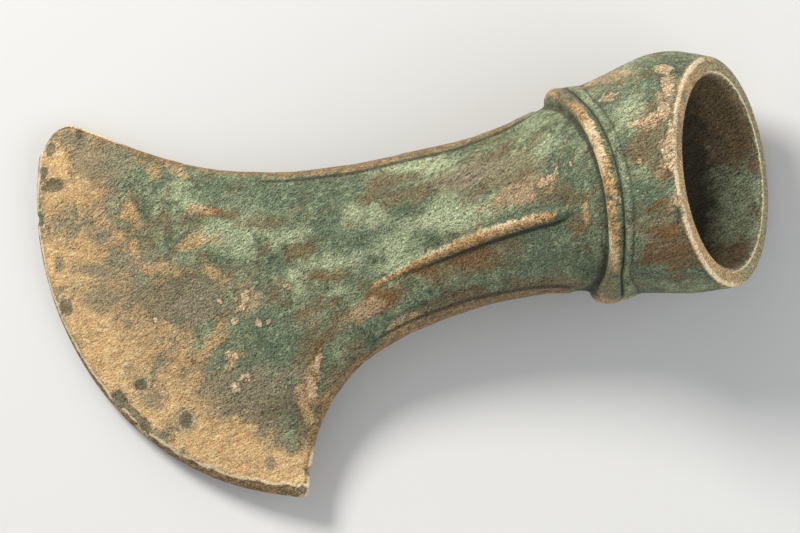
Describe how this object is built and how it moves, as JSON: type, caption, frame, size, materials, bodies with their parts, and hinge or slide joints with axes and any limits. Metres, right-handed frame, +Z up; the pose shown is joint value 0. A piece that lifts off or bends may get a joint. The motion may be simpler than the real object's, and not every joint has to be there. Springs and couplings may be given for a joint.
{
  "type": "socketed axe head",
  "caption": "Bronze socketed axe head with a flared, lopsided blade, beaded collar, central rib and open round socket.",
  "frame": {"origin": "centre of the bounding box, on the floor it lies on", "axes": "+X towards the socket's mouth, +Y towards the upper, longer horn, +Z up from the floor it lies on"},
  "size_m": [0.1546, 0.0826, 0.0493],
  "materials": {
    "patinated_bronze": "old bronze with green and brown patina, worn bright on the edge, rib, flanges and collar"
  },
  "bodies": {
    "root": {"axe_head": "patinated_bronze"}
  },
  "joints": []
}
